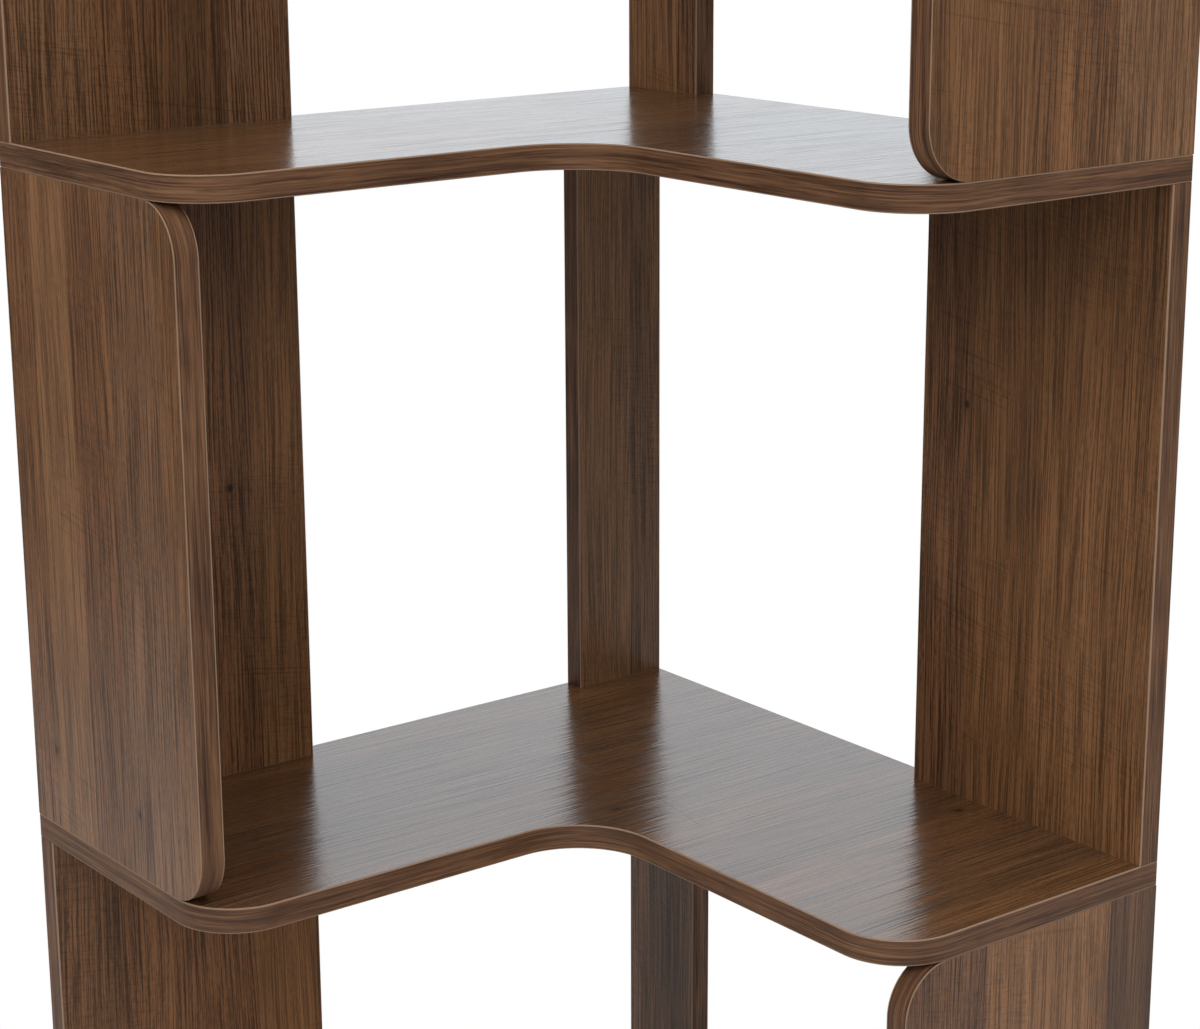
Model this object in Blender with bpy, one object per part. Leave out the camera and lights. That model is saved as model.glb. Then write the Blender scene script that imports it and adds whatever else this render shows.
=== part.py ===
"""Corner bookcase: five L-shaped shelves on four tiers of panels.

Metres, +Z up. The two walls meet at the back corner, where x is least and y is greatest. The
right wing runs along +X and the left wing along -Y. The origin lies on the floor, in the middle
of the bookcase's outer box. "Along" is a distance from the back corner along a wing's wall, and
"offset" a distance from that wall into the room.
"""
import math

import bmesh
import bpy
from mathutils import Matrix

for leftover in list(bpy.data.objects):
    bpy.data.objects.remove(leftover)

# Shelf boards
left_wing_length = 0.470
right_wing_length = 0.470
shelf_depth = 0.208
shelf_thickness = 0.015
shelf_corner_radius = 0.040
inner_corner_radius = 0.050

# Upright boards
tier_count = 4
panel_height = 0.390
panel_thickness = 0.015
back_panel_reach = 0.185
corner_panel_width = 0.070
end_panel_depth = 0.198
end_panel_corner_radius = 0.030

# Dowels
dowel_radius = 0.004
dowel_length = 0.030
dowel_shelf_depth = 0.010
dowel_edge_distance = 0.012

# Joining studs
stud_radius = 0.003
stud_reach = 0.025

# Countersunk screws
screw_radius = 0.0032
screw_length = 0.050
screw_head_radius = 0.005
screw_socket_radius = 0.0023
screw_socket_depth = 0.003

# Glides under the bottom shelf
glide_radius = 0.011
glide_height = 0.005
glide_top_radius = 0.009
glide_pin_radius = 0.0015
glide_pin_length = 0.008
glide_inset = 0.030

# Clearances
seat_gap = 0.0003
hole_gap = 0.0003
cut_overrun = 0.002

# Counts for round shapes
round_sides = 12
socket_sides = 6
arc_steps = 8

# Places worked out from the sizes
corner_x = -right_wing_length / 2
corner_y = left_wing_length / 2
tier_pitch = shelf_thickness + panel_height + 2 * seat_gap
bottom_shelf_z = glide_height + seat_gap
wing_length = {"left": left_wing_length, "right": right_wing_length}


def wing_point(wing, along, offset):
    """World x and y of a point given along a wing and away from its wall."""
    if wing == "left":
        return corner_x + offset, corner_y - along
    return corner_x + along, corner_y - offset


def shelf_foot(number):
    """Height of the underside of a shelf, counted from 1 at the bottom."""
    return bottom_shelf_z + (number - 1) * tier_pitch


def panel_foot(tier):
    """Height of the foot of the panels that stand on the shelf of the same number."""
    return shelf_foot(tier) + shelf_thickness + seat_gap


def end_wing(tier):
    """The wing that carries the end panel: it changes from tier to tier."""
    return "right" if tier % 2 else "left"


def back_panel_width(wing, tier):
    """A back panel reaches the end of the shelf, or stops at the end panel."""
    if end_wing(tier) == wing:
        return back_panel_reach - panel_thickness - seat_gap
    return back_panel_reach


def stud_along(wing):
    """Middle of the stretch that the back panels of all tiers share."""
    return wing_length[wing] - (back_panel_reach + panel_thickness) / 2


# Materials

def make_material(name, colour, roughness, metallic=0.0):
    material = bpy.data.materials.new(name)
    material.use_nodes = True
    shader = material.node_tree.nodes["Principled BSDF"]
    shader.inputs["Base Color"].default_value = (*colour, 1.0)
    shader.inputs["Roughness"].default_value = roughness
    shader.inputs["Metallic"].default_value = metallic
    return material


shelf_walnut = make_material("shelf_walnut", (0.105, 0.055, 0.032), 0.32)
panel_walnut = make_material("panel_walnut", (0.130, 0.072, 0.044), 0.45)
zinc_steel = make_material("zinc_steel", (0.62, 0.62, 0.60), 0.35, 1.0)
beech = make_material("beech", (0.62, 0.44, 0.26), 0.60)
black_plastic = make_material("black_plastic", (0.03, 0.03, 0.03), 0.50)


# Shapes

def extrude_outline(points, height):
    """Mesh of a flat outline in XY, listed anticlockwise, raised by height."""
    bm = bmesh.new()
    floor_face = bm.faces.new([bm.verts.new((x, y, 0)) for x, y in points])
    raised = bmesh.ops.extrude_face_region(bm, geom=[floor_face])
    moved = [item for item in raised["geom"] if isinstance(item, bmesh.types.BMVert)]
    bmesh.ops.translate(bm, vec=(0, 0, height), verts=moved)
    bmesh.ops.recalc_face_normals(bm, faces=bm.faces)
    return bm


def arc(centre_x, centre_y, radius, start, end):
    """Points of an arc between two angles in degrees, both ends included."""
    steps = [start + (end - start) * step / arc_steps for step in range(arc_steps + 1)]
    return [
        (centre_x + radius * math.cos(math.radians(angle)),
         centre_y + radius * math.sin(math.radians(angle)))
        for angle in steps
    ]


def add_turned(bm, profile, sides, x, y):
    """Adds a closed turned shape, its profile given as radius and height from the foot up."""
    rings = []
    for radius, z in profile:
        ring = []
        for side in range(sides):
            turn = 2 * math.pi * side / sides
            ring.append(bm.verts.new((x + radius * math.cos(turn), y + radius * math.sin(turn), z)))
        rings.append(ring)
    for lower, upper in zip(rings, rings[1:]):
        for side in range(sides):
            after = (side + 1) % sides
            bm.faces.new((lower[side], lower[after], upper[after], upper[side]))
    bm.faces.new(tuple(reversed(rings[0])))
    bm.faces.new(tuple(rings[-1]))


def make_object(name, bm, material, location, turn=0.0):
    """Puts a mesh in the scene under its name, turned about Z by an angle in degrees."""
    mesh = bpy.data.meshes.new(name)
    bm.to_mesh(mesh)
    bm.free()
    mesh.materials.append(material)
    piece = bpy.data.objects.new(name, mesh)
    piece.location = location
    piece.rotation_euler = (0, 0, math.radians(turn))
    bpy.context.scene.collection.objects.link(piece)
    return piece


def smooth_round_sides(piece):
    piece.data.shade_smooth()
    piece.data.set_sharp_from_angle(angle=math.radians(40))


# Fasteners, each known by the profile of the hole that it needs

class Fastener:
    """A turned fastener that stands upright, and the same shape with clearance as its cutter."""

    def __init__(self, name, x, y, foot, profile, hole, material):
        self.name = name
        self.x = x
        self.y = y
        self.foot = foot
        self.profile = profile
        self.hole = hole
        self.material = material

    def build(self):
        bm = bmesh.new()
        add_turned(bm, self.profile, round_sides, 0, 0)
        piece = make_object(self.name, bm, self.material, (self.x, self.y, self.foot))
        smooth_round_sides(piece)
        return piece


def straight_pin(name, x, y, foot, radius, length, material):
    """A dowel or a stud: a plain round bar in a hole that clears it all round."""
    profile = [(radius, 0), (radius, length)]
    hole = [(radius + hole_gap, -hole_gap), (radius + hole_gap, length + hole_gap)]
    return Fastener(name, x, y, foot, profile, hole, material)


def socket_screw(name, x, y, face_z, heads_up):
    """A countersunk screw with its head flush with a shelf face at face_z."""
    cone = screw_head_radius - screw_radius
    sign = 1 if heads_up else -1
    shape = [
        (screw_radius, -screw_length),
        (screw_radius, -cone),
        (screw_head_radius, 0),
    ]
    hole = [
        (screw_radius + hole_gap, -screw_length - hole_gap),
        (screw_radius + hole_gap, -cone - hole_gap),
        (screw_head_radius + hole_gap, -hole_gap),
        (screw_head_radius + hole_gap, cut_overrun),
    ]
    profile = [(radius, sign * depth) for radius, depth in shape]
    hole = [(radius, sign * depth) for radius, depth in hole]
    if not heads_up:
        profile.reverse()
        hole.reverse()
    sunk_z = face_z - sign * seat_gap
    return Fastener(name, x, y, sunk_z, profile, hole, zinc_steel)


def cut_holes(piece, fasteners):
    """Drills a board for the fasteners that enter it."""
    bm = bmesh.new()
    for fastener in fasteners:
        hole = [(radius, z + fastener.foot) for radius, z in fastener.hole]
        add_turned(bm, hole, round_sides, fastener.x, fastener.y)
    subtract(piece, bm)


def subtract(piece, bm):
    """Takes a closed mesh in world coordinates out of a piece."""
    mesh = bpy.data.meshes.new("cutter")
    bm.to_mesh(mesh)
    bm.free()
    cutter = bpy.data.objects.new("cutter", mesh)
    bpy.context.scene.collection.objects.link(cutter)
    modifier = piece.modifiers.new("cut", "BOOLEAN")
    modifier.operation = "DIFFERENCE"
    modifier.solver = "EXACT"
    modifier.object = cutter
    depsgraph = bpy.context.evaluated_depsgraph_get()
    result = bpy.data.meshes.new_from_object(piece.evaluated_get(depsgraph))
    piece.modifiers.clear()
    solid = piece.data
    piece.data = result
    bpy.data.meshes.remove(solid)
    result.name = piece.name
    bpy.data.objects.remove(cutter)
    bpy.data.meshes.remove(mesh)


def foot_dowel(name, tier, x, y):
    """A dowel that stands in the shelf of a tier and enters the foot of a panel."""
    foot = panel_foot(tier) - seat_gap - dowel_shelf_depth
    return straight_pin(name, x, y, foot, dowel_radius, dowel_length, beech)


def head_dowel(name, tier, x, y):
    """A dowel that stands in the head of a panel and enters the shelf above."""
    foot = shelf_foot(tier + 1) + dowel_shelf_depth - dowel_length
    return straight_pin(name, x, y, foot, dowel_radius, dowel_length, beech)


def corner_panel_dowels(tier):
    x, y = wing_point(end_wing(tier), corner_panel_width / 2, panel_thickness / 2)
    return [
        foot_dowel(f"corner_foot_dowel_{tier}", tier, x, y),
        head_dowel(f"corner_head_dowel_{tier}", tier, x, y),
    ]


def end_panel_dowels(tier):
    wing = end_wing(tier)
    along = wing_length[wing] - panel_thickness / 2
    inset = end_panel_corner_radius + dowel_edge_distance
    places = {"back": inset, "front": end_panel_depth - inset}
    dowels = []
    for side, offset in places.items():
        x, y = wing_point(wing, along, offset)
        dowels.append(foot_dowel(f"end_foot_dowel_{tier}_{side}", tier, x, y))
        dowels.append(head_dowel(f"end_head_dowel_{tier}_{side}", tier, x, y))
    return dowels


def back_panel_fasteners(wing):
    """Studs that tie the stacked back panels of a wing, with a screw at its top and bottom."""
    x, y = wing_point(wing, stud_along(wing), panel_thickness / 2)
    top_shelf = tier_count + 1
    top_face = shelf_foot(top_shelf) + shelf_thickness
    fasteners = [
        socket_screw(f"{wing}_bottom_screw", x, y, shelf_foot(1), heads_up=False),
        socket_screw(f"{wing}_top_screw", x, y, top_face, heads_up=True),
    ]
    length = shelf_thickness + 2 * stud_reach
    for shelf in range(2, top_shelf):
        foot = shelf_foot(shelf) - stud_reach
        name = f"{wing}_stud_{shelf}"
        fasteners.append(straight_pin(name, x, y, foot, stud_radius, length, zinc_steel))
    return fasteners


def cut_socket(piece, fastener, heads_up):
    """Cuts the hexagon socket into the head of a screw."""
    low, high = -screw_socket_depth, cut_overrun
    if not heads_up:
        low, high = -cut_overrun, screw_socket_depth
    bm = bmesh.new()
    profile = [(screw_socket_radius, fastener.foot + low), (screw_socket_radius, fastener.foot + high)]
    add_turned(bm, profile, socket_sides, fastener.x, fastener.y)
    subtract(piece, bm)


# Glides

def glide_places():
    """One glide at the wall corner and two at the end of each wing."""
    places = {"corner": wing_point("right", glide_inset, glide_inset)}
    for wing in ("left", "right"):
        along = wing_length[wing] - glide_inset
        places[f"{wing}_back"] = wing_point(wing, along, glide_inset)
        places[f"{wing}_front"] = wing_point(wing, along, shelf_depth - glide_inset)
    return places


def glide(name, x, y):
    """A pad with a sloped rim, and the pin that holds it in the bottom shelf."""
    pin_top = glide_height + seat_gap + glide_pin_length
    profile = [
        (glide_radius, 0),
        (glide_radius, glide_height / 2),
        (glide_top_radius, glide_height),
        (glide_pin_radius, glide_height),
        (glide_pin_radius, pin_top),
    ]
    hole = [
        (glide_pin_radius + hole_gap, bottom_shelf_z - cut_overrun),
        (glide_pin_radius + hole_gap, pin_top + hole_gap),
    ]
    return Fastener(name, x, y, 0, profile, hole, black_plastic)


# Boards

def shelf_outline():
    """L-shaped outline from the back corner: left wing along -Y, right wing along +X."""
    left_end = -left_wing_length + shelf_corner_radius
    right_end = right_wing_length - shelf_corner_radius
    front = shelf_depth - shelf_corner_radius
    inner = shelf_depth + inner_corner_radius
    points = [(0, 0), (0, -left_wing_length)]
    points += arc(front, left_end, shelf_corner_radius, 270, 360)
    points += arc(inner, -inner, inner_corner_radius, 180, 90)
    points += arc(right_end, -front, shelf_corner_radius, 270, 360)
    points += [(right_wing_length, 0)]
    return points


def build_shelf(number, fasteners):
    bm = extrude_outline(shelf_outline(), shelf_thickness)
    location = (corner_x, corner_y, shelf_foot(number))
    shelf = make_object(f"shelf_{number}", bm, shelf_walnut, location)
    cut_holes(shelf, fasteners)
    smooth_round_sides(shelf)
    return shelf


def panel_outline(width, front_radius):
    """Upright outline about the middle of the foot, its front corners rounded if asked."""
    half = width / 2
    if not front_radius:
        return [(-half, 0), (half, 0), (half, panel_height), (-half, panel_height)]
    front = half - front_radius
    points = [(-half, 0)]
    points += arc(front, front_radius, front_radius, 270, 360)
    points += arc(front, panel_height - front_radius, front_radius, 0, 90)
    points += [(-half, panel_height)]
    return points


def build_panel(name, width, place, tier, turn, fasteners, front_radius=0.0):
    """An upright board: its width runs along local X, and its front edge is at +X."""
    bm = extrude_outline(panel_outline(width, front_radius), panel_thickness)
    bmesh.ops.translate(bm, vec=(0, 0, -panel_thickness / 2), verts=bm.verts)
    bmesh.ops.rotate(bm, matrix=Matrix.Rotation(math.radians(90), 3, "X"), verts=bm.verts)
    panel = make_object(name, bm, panel_walnut, (*place, panel_foot(tier)), turn)
    cut_holes(panel, fasteners)
    if front_radius:
        smooth_round_sides(panel)
    return panel


def build_back_panel(wing, tier, fasteners):
    width = back_panel_width(wing, tier)
    inner_edge = wing_length[wing] - back_panel_reach
    place = wing_point(wing, inner_edge + width / 2, panel_thickness / 2)
    turn = -90 if wing == "left" else 0
    return build_panel(f"{wing}_back_panel_{tier}", width, place, tier, turn, fasteners)


def build_corner_panel(tier, fasteners):
    wing = end_wing(tier)
    place = wing_point(wing, corner_panel_width / 2, panel_thickness / 2)
    turn = -90 if wing == "left" else 0
    return build_panel(f"corner_panel_{tier}", corner_panel_width, place, tier, turn, fasteners)


def build_end_panel(tier, fasteners):
    wing = end_wing(tier)
    along = wing_length[wing] - panel_thickness / 2
    place = wing_point(wing, along, end_panel_depth / 2)
    turn = 0 if wing == "left" else -90
    return build_panel(f"end_panel_{tier}", end_panel_depth, place, tier, turn, fasteners,
                       end_panel_corner_radius)


# Assembly

def entering(fasteners, foot, height):
    """The fasteners whose holes reach into a board that stands from foot to foot plus height."""
    found = []
    for fastener in fasteners:
        heights = [fastener.foot + z for _, z in fastener.hole]
        if min(heights) < foot + height and max(heights) > foot:
            found.append(fastener)
    return found


def build_bookcase():
    wings = ("left", "right")
    tiers = range(1, tier_count + 1)
    corner_dowels = {tier: corner_panel_dowels(tier) for tier in tiers}
    end_dowels = {tier: end_panel_dowels(tier) for tier in tiers}
    rows = {wing: back_panel_fasteners(wing) for wing in wings}
    fasteners = [glide(f"glide_{name}", x, y) for name, (x, y) in glide_places().items()]
    for row in (*rows.values(), *corner_dowels.values(), *end_dowels.values()):
        fasteners += row

    pieces = []
    for fastener in fasteners:
        piece = fastener.build()
        if fastener.name.endswith("screw"):
            cut_socket(piece, fastener, heads_up="top" in fastener.name)
        pieces.append(piece)
    for tier in tiers:
        pieces.append(build_corner_panel(tier, corner_dowels[tier]))
        pieces.append(build_end_panel(tier, end_dowels[tier]))
        for wing in wings:
            held_by = entering(rows[wing], panel_foot(tier), panel_height)
            pieces.append(build_back_panel(wing, tier, held_by))
    for number in range(1, tier_count + 2):
        held_by = entering(fasteners, shelf_foot(number), shelf_thickness)
        pieces.append(build_shelf(number, held_by))
    return pieces


def gather(pieces):
    """Hangs every piece on one empty, so the bookcase moves as a whole."""
    bookcase = bpy.data.objects.new("bookcase", None)
    bpy.context.scene.collection.objects.link(bookcase)
    for piece in pieces:
        piece.parent = bookcase


gather(build_bookcase())
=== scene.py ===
"""Corner bookcase in walnut board: four tiers of upright panels between five L-shaped shelves.

The boards, dowels, studs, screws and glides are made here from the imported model's boxes, given
their finishes, and set on a pale floor in soft light.
"""
import math
import random

import bpy
from mathutils import Matrix, Vector


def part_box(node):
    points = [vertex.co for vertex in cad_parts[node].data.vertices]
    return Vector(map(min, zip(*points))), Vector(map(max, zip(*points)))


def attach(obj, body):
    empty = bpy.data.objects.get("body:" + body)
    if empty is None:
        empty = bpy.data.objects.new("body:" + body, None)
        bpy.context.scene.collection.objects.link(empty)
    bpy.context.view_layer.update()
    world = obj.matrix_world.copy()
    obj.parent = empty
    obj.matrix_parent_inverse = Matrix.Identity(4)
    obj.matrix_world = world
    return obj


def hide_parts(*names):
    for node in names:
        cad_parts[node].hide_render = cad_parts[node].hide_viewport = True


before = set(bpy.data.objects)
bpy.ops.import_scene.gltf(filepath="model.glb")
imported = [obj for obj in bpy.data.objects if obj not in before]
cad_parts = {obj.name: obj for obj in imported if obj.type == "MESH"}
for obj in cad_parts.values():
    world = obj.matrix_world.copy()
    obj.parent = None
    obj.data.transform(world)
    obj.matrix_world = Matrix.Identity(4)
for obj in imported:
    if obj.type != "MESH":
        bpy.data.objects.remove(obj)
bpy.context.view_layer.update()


# Sizes of the boards, in metres
TIERS = 4
SHELF_DEPTH = 0.208
SHELF_CORNER_RADIUS = 0.040
INNER_CORNER_RADIUS = 0.050
END_PANEL_CORNER_RADIUS = 0.030
BOARD_THICKNESS = 0.015
EDGE_ROUNDING = 0.0008
SEATED_ROUNDING_SHARE = 0.2

# How far a panel reaches into the gap at its foot and head, so that no slit of light shows
SEAT_REACH = 0.00028

# How finely the boards are made, and what counts as one point, one height or a flat face
ARC_POINTS = 24
EDGE_ROUNDING_STEPS = 3
ROUNDED_ABOVE = math.radians(40)
SMOOTH_BELOW = math.radians(10)
SAME_POINT = 0.00001
SAME_HEIGHT = 0.0001
FLAT_FACE = 0.999

# Where each board is cut from the laminate's endless sheet, in metres
GRAIN_SEED = 57970
SHEET_LOW = 1.0
SHEET_HIGH = 9.0
END_PANEL_SHEET = 10.96

# The laminate's glued strips, and how far its lines stray, in metres
STRIP_WIDTH = 0.050
WANDER = 0.020
RIPPLE = 0.0016
JITTER = 0.0003

# The laminate's layers, in cells a metre across the grain and along it
WANDER_CELLS = (6.0, 1.6)
RIPPLE_CELLS = (40.0, 14.0)
JITTER_CELLS = (260.0, 240.0)
FIGURE_CELLS = (52.0, 0.9)
CLOUD_CELLS = (9.0, 6.0)
GROWTH_CELLS = (360.0, 2.1)
COMB_CELLS = (880.0, 9.0)
FLECK_CELLS = (900.0, 190.0)
RIDGE_CELLS = (430.0, 12.0)
SCRATCH_PATCH_CELLS = (10.0, 30.0)
CHATTER_PATCH_CELLS = (8.0, 7.0)
KNOT_CELLS = (9.0, 7.0)
KNOT_ABOVE = 0.72

# The saw's marks run almost square to the grain
SAW_SLANT = 0.17
SAW_LINES = 560.0
SCRATCH_CELLS = 6.0
CHATTER_CELLS = 60.0
CHATTER_PACE = 1.2

# The edge band's layers, in cells a metre round the board and through it
EDGE_SWAY = 0.0014
EDGE_SWAY_CELLS = (30.0, 90.0)
EDGE_BROAD_CELLS = (7.0, 270.0)
EDGE_FINE_CELLS = (15.0, 1150.0)
EDGE_FLECK_CELLS = (75.0, 1500.0)
EDGE_CLOUD_CELLS = (21.0, 0.0)
BARE_CORNER_SHARE = 0.80

# The fastenings' layers, in cells a metre to the sides and upwards
BEECH_STREAK_CELLS = (900.0, 40.0)
BEECH_FLECK_CELLS = (2600.0, 420.0)
ZINC_SPANGLE_CELLS = (700.0, 700.0)
ZINC_WEAR_CELLS = (160.0, 160.0)
PLASTIC_STIPPLE_CELLS = (1800.0, 1800.0)
PLASTIC_SCUFF_CELLS = (260.0, 60.0)

# The depth of each fine relief, in metres
SHELF_RELIEF = 0.000080
PANEL_RELIEF = 0.000014
EDGE_RELIEF = 0.00001
BEECH_RELIEF = 0.0001
ZINC_RELIEF = 0.00005
PLASTIC_RELIEF = 0.00008

# Colours, dark to light, with the place of each on its scale where they form one
WALNUT_STOPS = [
    (0.00, (0.042, 0.021, 0.011)),
    (0.28, (0.090, 0.044, 0.021)),
    (0.50, (0.153, 0.071, 0.029)),
    (0.75, (0.208, 0.098, 0.041)),
    (1.00, (0.252, 0.127, 0.053)),
]
REDDISH_WALNUT = (0.128, 0.055, 0.026)
GREYISH_WALNUT = (0.118, 0.068, 0.040)
EDGE_STOPS = [
    (0.15, (0.042, 0.020, 0.012)),
    (0.42, (0.092, 0.044, 0.023)),
    (0.60, (0.142, 0.069, 0.034)),
    (0.85, (0.200, 0.102, 0.051)),
]
BARE_CORNER = (0.270, 0.176, 0.116)
BEECH_STOPS = [
    (0.25, (0.50, 0.33, 0.18)),
    (0.75, (0.70, 0.52, 0.33)),
]
BEECH_FLECK = (0.36, 0.22, 0.12)
DULL_ZINC = (0.50, 0.50, 0.48)
BRIGHT_ZINC = (0.72, 0.72, 0.70)
BLACK_PLASTIC = (0.026, 0.026, 0.027)
SCUFFED_PLASTIC = (0.060, 0.060, 0.060)
PALE_FLOOR = (0.82, 0.82, 0.82, 1.0)
PLAIN_WHITE = (1.0, 1.0, 1.0, 1.0)
COOL_WHITE = (0.900, 0.952, 1.0, 1.0)

# Sizes of the fastenings
SCREW_HOLE_RADIUS = 0.0052
SCREW_HOLE_SIDES = 40
TURNED_SMOOTH_BELOW = math.radians(35)
DOWEL_FLUTES = 12
DOWEL_FLUTE_DEPTH_SHARE = 0.07
DOWEL_CHAMFER = 0.0015
DOWEL_END_SHARE = 0.78
THREAD_PITCH = 0.0010
THREAD_DEPTH_SHARE = 0.10
THREAD_STEP = 0.00025
STUD_SIDES = 10
STUD_CHAMFER = 0.0008
STUD_END_SHARE = 0.8
STUD_PLAIN_END = 0.0012
SCREW_SIDES = 16
SCREW_PITCH = THREAD_PITCH * 2
SCREW_DEPTH_SHARE = THREAD_DEPTH_SHARE * 1.8
SCREW_HEAD_HEIGHT = 0.0035
SCREW_HEAD_RIM = 0.0004
SCREW_HEAD_CHAMFER = 0.0003
SCREW_SHANK_RADIUS = 0.0031
SCREW_SHANK_END = 0.002
SCREW_PLAIN_END = 0.006
SCREW_TIP_LENGTH = 0.004
SCREW_TIP_END_SHARE = 0.25
SCREW_TIP_MIDDLE_SHARE = 0.7
SCREW_SOCKET_SIDES = 6
SCREW_SOCKET_RADIUS = 0.0023
SCREW_SOCKET_DEPTH = 0.003
GLIDE_SIDES = 18
GLIDE_FOOT_HEIGHT = 0.005
GLIDE_PIN_RADIUS = 0.0015
GLIDE_PIN_FILLET = 0.0006
GLIDE_PIN_FILLET_HEIGHT = 0.0008
GLIDE_PIN_TIP = 0.002
GLIDE_PIN_TIP_SHARE = 0.4

# The glide's foot as heights and how far it stands in from its full radius, and its top's step
GLIDE_FOOT = [(0.0, 0.0025), (0.0006, 0.0010), (0.0016, 0.0), (0.0030, 0.0), (0.0042, 0.0008)]
GLIDE_TOP_STEP = 0.0001
GLIDE_TOP_INSET = 0.0020

# Where the view is taken from: metres, degrees and millimetres
CAMERA_PLACE = (1.1951, -0.9088, 1.0205)
CAMERA_YAW = 52.359
CAMERA_PITCH = 14.866
CAMERA_ROLL = -0.281
CAMERA_LENS = 81.62
CAMERA_NEAR = 0.01
SENSOR_WIDTH = 36.0

# The floor keeps its own shade near the bookcase and turns plain white further out
FLOOR_RADIUS = 2.0
FLOOR_SIDES = 96
FLOOR_SHADE_RADIUS = 0.42
FLOOR_WHITE_RADIUS = 0.60

# The even light, and what glossy faces mirror: a white backdrop turned to the right wall,
# a little brighter higher up, with the camera's side almost dark
EVEN_LIGHT = 0.37
BACKDROP_SIDE = (-0.52, 0.84, 0.15)
BACKDROP_EDGE = 0.30
BACKDROP_FULL = 0.80
BACKDROP_MIRRORED = 1.35
BACKDROP_TOP_EDGE = 0.10
BACKDROP_TOP_FULL = 0.38
BACKDROP_TOP_GAIN = 1.11
FRONT_MIRRORED = 0.06
LAMP_TARGET = (0.0, 0.0, 0.8)
OVERHEAD_TARGET = (0.0, 0.0, 0.6)


class Value:
    """An output socket that takes part in plain arithmetic."""

    def __init__(self, graph, socket):
        self.graph = graph
        self.socket = socket

    def of(self, name):
        """Another output of the same node."""
        return Value(self.graph, self.socket.node.outputs[name])

    def __add__(self, other):
        return self.graph.maths("ADD", self, other)

    def __radd__(self, other):
        return self.graph.maths("ADD", other, self)

    def __sub__(self, other):
        return self.graph.maths("SUBTRACT", self, other)

    def __rsub__(self, other):
        return self.graph.maths("SUBTRACT", other, self)

    def __mul__(self, other):
        return self.graph.maths("MULTIPLY", self, other)

    def __rmul__(self, other):
        return self.graph.maths("MULTIPLY", other, self)

    def __truediv__(self, other):
        return self.graph.maths("DIVIDE", self, other)

    def __gt__(self, other):
        return self.graph.maths("GREATER_THAN", self, other)

    def __lt__(self, other):
        return self.graph.maths("LESS_THAN", self, other)


class Graph:
    """Builds the nodes of a material, of the world or of a geometry tree."""

    def __init__(self, tree):
        self.tree = tree

    def node(self, kind, settings=None, inputs=None, output=0):
        """Adds a node, sets its settings first, and then its sockets from values or links."""
        made = self.tree.nodes.new(kind)
        for name, value in (settings or {}).items():
            if name == "stops":
                self.set_stops(made.color_ramp, value)
            else:
                setattr(made, name, value)
        for name, value in (inputs or {}).items():
            for one in value if isinstance(value, list) else [value]:
                if isinstance(one, Value):
                    self.tree.links.new(one.socket, made.inputs[name])
                else:
                    made.inputs[name].default_value = one
        return Value(self, made.outputs[output]) if made.outputs else made

    def set_stops(self, ramp, stops):
        """Gives a colour ramp its stops, as pairs of a place and a colour."""
        while len(ramp.elements) < len(stops):
            ramp.elements.new(1.0)
        for element, (place, colour) in zip(ramp.elements, stops):
            element.position = place
            element.color = (*colour, 1.0)

    def maths(self, operation, *values):
        return self.node("ShaderNodeMath", {"operation": operation}, dict(enumerate(values)))

    def vector(self, x, y, z):
        return self.node("ShaderNodeCombineXYZ", {}, {"X": x, "Y": y, "Z": z})

    def ease(self, value, low, high, start=0.0, end=1.0):
        """A smooth step that goes from start at low to end at high."""
        inputs = {"Value": value, "From Min": low, "From Max": high, "To Min": start, "To Max": end}
        return self.node("ShaderNodeMapRange", {"interpolation_type": "SMOOTHSTEP"}, inputs)

    def noise(self, x, y, z=None, detail=2.0, roughness=0.5):
        """Soft noise over two coordinates, or over three."""
        settings = {"noise_dimensions": "2D" if z is None else "3D"}
        place = self.vector(x, y, 0.0 if z is None else z)
        inputs = {"Vector": place, "Scale": 1.0, "Detail": detail, "Roughness": roughness}
        return self.node("ShaderNodeTexNoise", settings, inputs)

    def layer(self, across, along, cells, start=(0.0, 0.0), **look):
        """Soft noise on a board, in cells a metre across and along, from a start in cells."""
        return self.noise(across * cells[0] + start[0], along * cells[1] + start[1], **look)

    def solid(self, place, cells, start=0.0, **look):
        """Soft noise through a piece, in cells a metre two ways and in others the third way."""
        x, y, z = place
        return self.noise(x * cells[0], y * cells[0], z * cells[1] + start, **look)

    def split(self, vector):
        """A vector's three parts."""
        parts = self.node("ShaderNodeSeparateXYZ", {}, {"Vector": vector})
        return parts.of("X"), parts.of("Y"), parts.of("Z")

    def ramp(self, value, stops):
        """The colour at a value's place between the stops."""
        return self.node("ShaderNodeValToRGB", {"stops": stops}, {"Fac": value}, output="Color")

    def mix(self, factor, first, second, blend="MIX"):
        """Mixes two colours, each a plain colour or a link."""
        settings = {"data_type": "RGBA", "blend_type": blend, "clamp_factor": True}
        inputs = {0: factor, 6: opaque(first), 7: opaque(second)}
        return self.node("ShaderNodeMix", settings, inputs, output=2)

    def shaded(self, colour, shade):
        """A colour times a shade."""
        return self.mix(1.0, colour, self.vector(shade, shade, shade), "MULTIPLY")

    def bump(self, height, strength, distance):
        """The normal of a fine relief, with its distance in metres."""
        inputs = {"Strength": strength, "Distance": distance, "Height": height}
        return self.node("ShaderNodeBump", {}, inputs)

    def attribute(self, name, data_type="FLOAT"):
        """Reads a named attribute in a geometry tree."""
        return self.node("GeometryNodeInputNamedAttribute", {"data_type": data_type}, {"Name": name})


def opaque(colour):
    return colour if isinstance(colour, Value) else (*colour, 1.0)


# Materials

def new_material(name):
    material = bpy.data.materials.new(name)
    material.use_nodes = True
    material.node_tree.nodes.clear()
    return material, Graph(material.node_tree)


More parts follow.
